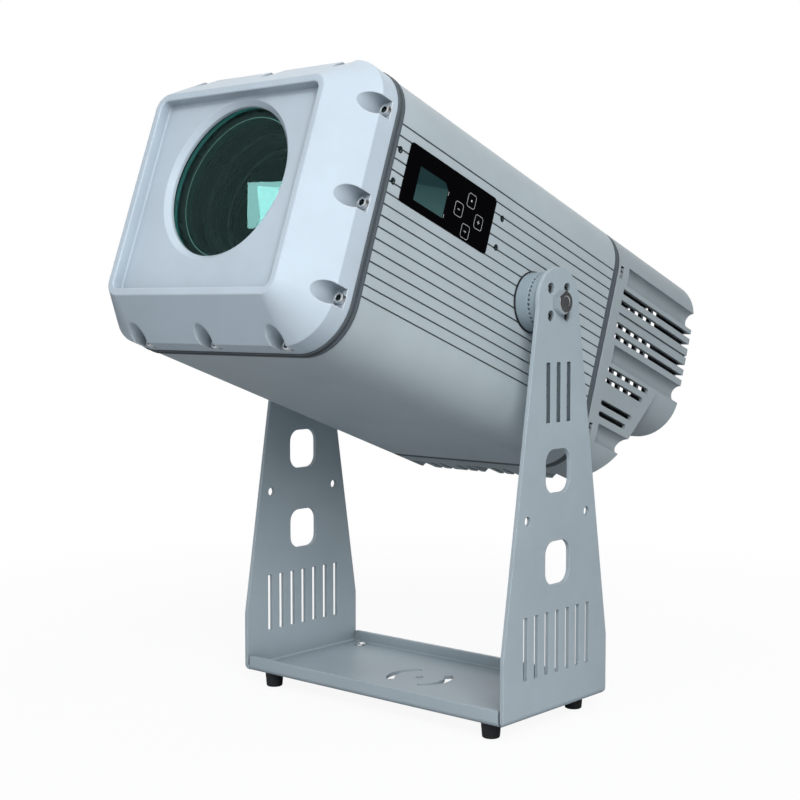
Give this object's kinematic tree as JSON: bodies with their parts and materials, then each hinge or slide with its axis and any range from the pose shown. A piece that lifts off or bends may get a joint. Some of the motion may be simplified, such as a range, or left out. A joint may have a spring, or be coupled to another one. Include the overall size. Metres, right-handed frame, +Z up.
{
  "type": "gobo projector",
  "caption": "Outdoor gobo projector: a grooved metal lamp head with a round lens in a dished square bezel, tilting in a folded sheet stand.",
  "frame": {"origin": "middle of the bounding box on the floor, at the underside of the feet", "axes": "+Z up, the lens looks towards -Y and the tilt axis runs along X"},
  "size_m": [0.3458, 0.609, 0.5904],
  "materials": {
    "body_paint": "satin blue-grey powder coat on aluminium",
    "bezel_paint": "smooth pale blue-grey paint on cast aluminium",
    "stand_paint": "satin blue-grey powder coat on steel sheet",
    "foot_rubber": "matt",
    "seal_rubber": "matt grey",
    "steel": "bright zinc plated",
    "bare_aluminium": "mill finish",
    "black_metal": "black anodised",
    "black_plastic": "fine matt",
    "panel_gloss": "gloss black overlay",
    "screen": "dark display glass",
    "optical_glass": "coated, with a teal reflection",
    "circuit_board": "green solder mask",
    "lamp_source": "yellow phosphor on a metal base"
  },
  "bodies": {
    "stand": {"stand_bracket": "stand_paint", "rubber_foot_front_left": "foot_rubber", "rubber_foot_front_right": "foot_rubber", "rubber_foot_rear_left": "foot_rubber", "rubber_foot_rear_right": "foot_rubber", "foot_screw_front_left": "steel", "foot_screw_front_right": "steel", "foot_screw_rear_left": "steel", "foot_screw_rear_right": "steel", "arm_disc_right": "body_paint", "arm_disc_left": "body_paint", "clamp_bolt_right": "steel", "clamp_bolt_left": "steel"},
    "head": {"housing": "body_paint", "head_disc_right": "body_paint", "head_disc_left": "body_paint", "front_gasket": "seal_rubber", "front_bezel": "bezel_paint", "front_glass": "optical_glass", "glass_ring": "black_metal", "rear_gasket": "seal_rubber", "rear_cover": "body_paint", "cable_gland": "black_plastic", "control_panel": "panel_gloss", "display": "screen", "control_board": "circuit_board", "optical_bench": "bare_aluminium", "barrel_plate": "bare_aluminium", "lens_barrel": "black_metal", "gobo_gate": "bare_aluminium", "gobo_motor": "black_metal", "condenser_holder": "bare_aluminium", "condenser_lens": "optical_glass", "lamp_plate": "bare_aluminium", "lamp_module": "lamp_source", "heat_sink": "bare_aluminium", "fan_frame": "black_plastic", "closing_plate": "bare_aluminium", "lamp_driver": "bare_aluminium", "bezel_screw_1": "steel", "bezel_screw_2": "steel", "bezel_screw_3": "steel", "bezel_screw_4": "steel", "bezel_screw_5": "steel", "bezel_screw_6": "steel", "bezel_screw_7": "steel", "bezel_screw_8": "steel", "bezel_screw_9": "steel", "bezel_screw_10": "steel", "bezel_screw_11": "steel", "bezel_screw_12": "steel"},
    "focus": {"focus_tube": "black_metal", "focus_lens": "optical_glass"},
    "gobo_changer": {"gobo_wheel": "black_metal", "gobo_1": "optical_glass", "gobo_2": "optical_glass", "gobo_3": "optical_glass", "gobo_4": "optical_glass"},
    "fan": {"fan_rotor": "black_plastic"}
  },
  "joints": [
    {"name": "head_tilt", "type": "hinge", "parent": "stand", "child": "head", "pos_m": [0, -0.00301, 0.39], "axis": [1, 0, 0], "range_deg": [-70.28, 109.72]},
    {"name": "focus_slide", "type": "slide", "parent": "head", "child": "focus", "axis": [0, 0.9414, -0.3374], "range_m": [-0.01, 0.01]},
    {"name": "gobo_wheel_turn", "type": "hinge", "parent": "head", "child": "gobo_changer", "pos_m": [0, -0.07537, 0.37929], "axis": [0, 0.9414, -0.3374], "continuous": true},
    {"name": "fan_spin", "type": "hinge", "parent": "head", "child": "fan", "pos_m": [0, 0.09547, 0.36691], "axis": [0, 0.9414, -0.3374], "continuous": true}
  ]
}
